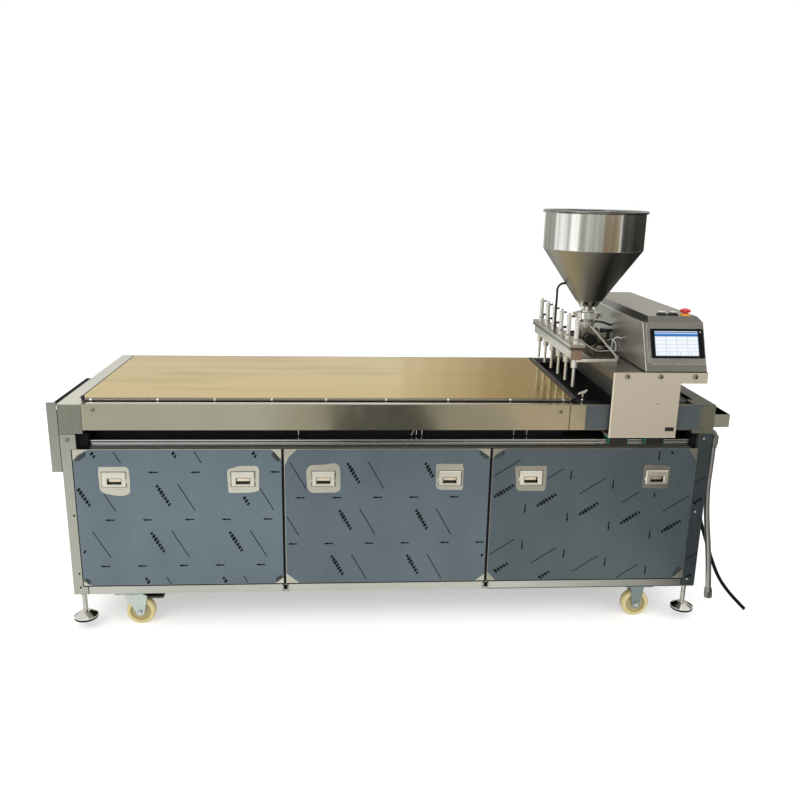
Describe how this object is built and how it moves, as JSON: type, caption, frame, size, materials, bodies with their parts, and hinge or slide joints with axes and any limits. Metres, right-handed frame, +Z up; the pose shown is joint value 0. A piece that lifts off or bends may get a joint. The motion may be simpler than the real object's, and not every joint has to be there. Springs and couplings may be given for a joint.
{
  "type": "dorayaki making machine",
  "caption": "Long stainless steel bakery table with a gas-heated brass plate and a belt-driven carriage that carries a batter hopper, dosing valve and nozzle bar along it.",
  "frame": {"origin": "on the floor under the middle of the outer box, cords left out", "axes": "+X to the right along the table, +Y to its back, +Z up"},
  "size_m": [2.4836, 0.821, 1.4555],
  "materials": {
    "stainless_sheet": "fine brushed",
    "film_sheet": "blue-grey protective film",
    "plate_brass": "polished, satin",
    "dark_steel": "matt black",
    "bright_steel": "ground",
    "bearing_black": "black oxide",
    "black_plastic": "matt",
    "white_plastic": "gloss",
    "red_plastic": "gloss",
    "black_rubber": "matt",
    "cream_wheel": "satin",
    "zinc_steel": "zinc plated",
    "braided_steel": "braided wire",
    "motor_paint": "grey enamel"
  },
  "bodies": {
    "table": {"legs": "stainless_sheet", "frame_rails": "stainless_sheet", "front_fascias": "stainless_sheet", "side_fascias": "stainless_sheet", "deck_strips": "stainless_sheet", "hot_plate": "plate_brass", "drip_pan": "dark_steel", "gutter_rod": "bright_steel", "linear_rails": "bright_steel", "side_panels": "stainless_sheet", "burners": "dark_steel", "drive_motor": "motor_paint", "drive_belt": "black_rubber", "feet": "zinc_steel", "caster_mounts": "zinc_steel", "gas_inlet": "plate_brass", "gas_hose": "braided_steel", "hose_nut": "zinc_steel", "cable_gland": "black_plastic", "power_cable": "black_rubber"},
    "carriage": {"bearing_blocks": "bearing_black", "skirts": "stainless_sheet", "cross_beam": "stainless_sheet", "deck_plate": "stainless_sheet", "housing": "stainless_sheet", "touch_panel": "white_plastic", "control_bezels": "black_plastic", "hopper": "stainless_sheet", "clamp_ring": "bright_steel", "valve_body": "stainless_sheet", "dosing_cylinder": "stainless_sheet", "nozzle_bar": "stainless_sheet", "bar_lid": "stainless_sheet", "nozzles": "bright_steel", "air_cylinders": "bright_steel", "head_pipes": "stainless_sheet"},
    "drive_pulley": {"drive_pulley": "bright_steel"},
    "idler_pulley": {"idler_pulley": "bright_steel"},
    "left_panel": {"left_panel": "film_sheet", "left_panel_handles": "stainless_sheet"},
    "middle_panel": {"middle_panel": "film_sheet", "middle_panel_handles": "stainless_sheet"},
    "right_panel": {"right_panel": "film_sheet", "right_panel_handles": "stainless_sheet"},
    "crumb_drawer": {"crumb_drawer": "stainless_sheet"},
    "right_tray": {"right_tray": "stainless_sheet"},
    "front_swivel_fork": {"front_swivel_fork": "zinc_steel"},
    "front_swivel_wheel": {"front_swivel_wheel": "cream_wheel"},
    "front_rigid_wheel": {"front_rigid_wheel": "cream_wheel"},
    "front_brake_pedal": {"front_brake_pedal": "black_plastic"},
    "rear_swivel_fork": {"rear_swivel_fork": "zinc_steel"},
    "rear_swivel_wheel": {"rear_swivel_wheel": "cream_wheel"},
    "rear_rigid_wheel": {"rear_rigid_wheel": "cream_wheel"},
    "rear_brake_pedal": {"rear_brake_pedal": "black_plastic"},
    "start_button": {"start_button": "white_plastic"},
    "stop_button": {"stop_button": "white_plastic"},
    "estop_head": {"estop_head": "red_plastic"},
    "valve_plug": {"valve_plug": "black_plastic"},
    "dosing_piston": {"dosing_piston": "bright_steel"},
    "valve_needles": {"valve_needles": "bright_steel"}
  },
  "joints": [
    {"name": "carriage_travel", "type": "slide", "parent": "table", "child": "carriage", "axis": [-1, 0, 0], "range_m": [0, 1.65]},
    {"name": "drive_pulley_spin", "type": "hinge", "parent": "table", "child": "drive_pulley", "pos_m": [0.985, 0.3025, 0.684], "axis": [0, -1, 0], "range_deg": [0, 4730]},
    {"name": "idler_pulley_spin", "type": "hinge", "parent": "table", "child": "idler_pulley", "pos_m": [-1.005, 0.3025, 0.684], "axis": [0, -1, 0], "range_deg": [0, 4730]},
    {"name": "left_panel_pull", "type": "slide", "parent": "table", "child": "left_panel", "axis": [0, -1, 0], "range_m": [0, 0.25]},
    {"name": "middle_panel_pull", "type": "slide", "parent": "table", "child": "middle_panel", "axis": [0, -1, 0], "range_m": [0, 0.25]},
    {"name": "right_panel_pull", "type": "slide", "parent": "table", "child": "right_panel", "axis": [0, -1, 0], "range_m": [0, 0.25]},
    {"name": "drawer_slide", "type": "slide", "parent": "table", "child": "crumb_drawer", "axis": [0, -1, 0], "range_m": [0, 0.33]},
    {"name": "tray_slide", "type": "slide", "parent": "table", "child": "right_tray", "axis": [0, -1, 0], "range_m": [0, 0.38]},
    {"name": "front_caster_swivel", "type": "hinge", "parent": "table", "child": "front_swivel_fork", "pos_m": [-0.93, -0.3475, 0.12], "axis": [0, 0, 1], "continuous": true},
    {"name": "front_swivel_wheel_spin", "type": "hinge", "parent": "front_swivel_fork", "child": "front_swivel_wheel", "pos_m": [-0.902, -0.3475, 0.05], "axis": [0, 1, 0], "continuous": true},
    {"name": "front_rigid_wheel_spin", "type": "hinge", "parent": "table", "child": "front_rigid_wheel", "pos_m": [0.895, -0.3475, 0.05], "axis": [0, 1, 0], "continuous": true},
    {"name": "front_brake_tip", "type": "hinge", "parent": "front_swivel_fork", "child": "front_brake_pedal", "pos_m": [-0.884, -0.3475, 0.108], "axis": [0, 1, 0], "range_deg": [0, 18]},
    {"name": "rear_caster_swivel", "type": "hinge", "parent": "table", "child": "rear_swivel_fork", "pos_m": [-0.93, 0.3475, 0.12], "axis": [0, 0, 1], "continuous": true},
    {"name": "rear_swivel_wheel_spin", "type": "hinge", "parent": "rear_swivel_fork", "child": "rear_swivel_wheel", "pos_m": [-0.902, 0.3475, 0.05], "axis": [0, 1, 0], "continuous": true},
    {"name": "rear_rigid_wheel_spin", "type": "hinge", "parent": "table", "child": "rear_rigid_wheel", "pos_m": [0.895, 0.3475, 0.05], "axis": [0, 1, 0], "continuous": true},
    {"name": "rear_brake_tip", "type": "hinge", "parent": "rear_swivel_fork", "child": "rear_brake_pedal", "pos_m": [-0.884, 0.3475, 0.108], "axis": [0, 1, 0], "range_deg": [0, 18]},
    {"name": "start_button_press", "type": "slide", "parent": "carriage", "child": "start_button", "axis": [0, 0, -1], "range_m": [0, 0.003], "stiffness_N_per_m": 300, "springref_m": -0.003},
    {"name": "stop_button_press", "type": "slide", "parent": "carriage", "child": "stop_button", "axis": [0, 0, -1], "range_m": [0, 0.003], "stiffness_N_per_m": 300, "springref_m": -0.003},
    {"name": "estop_press", "type": "slide", "parent": "carriage", "child": "estop_head", "axis": [0, 0, -1], "range_m": [0, 0.004]},
    {"name": "valve_turn", "type": "hinge", "parent": "carriage", "child": "valve_plug", "pos_m": [0.755, 0.0475, 0.976], "axis": [0, 1, 0], "range_deg": [0, 135]},
    {"name": "dosing_stroke", "type": "slide", "parent": "carriage", "child": "dosing_piston", "axis": [1, 0, 0], "range_m": [0, 0.08]},
    {"name": "needle_lift", "type": "slide", "parent": "carriage", "child": "valve_needles", "axis": [0, 0, 1], "range_m": [0, 0.012]}
  ],
  "couplings": [
    {"joint": "drive_pulley_spin", "follows": "carriage_travel", "rad_per_m": 50},
    {"joint": "idler_pulley_spin", "follows": "carriage_travel", "rad_per_m": 50}
  ]
}
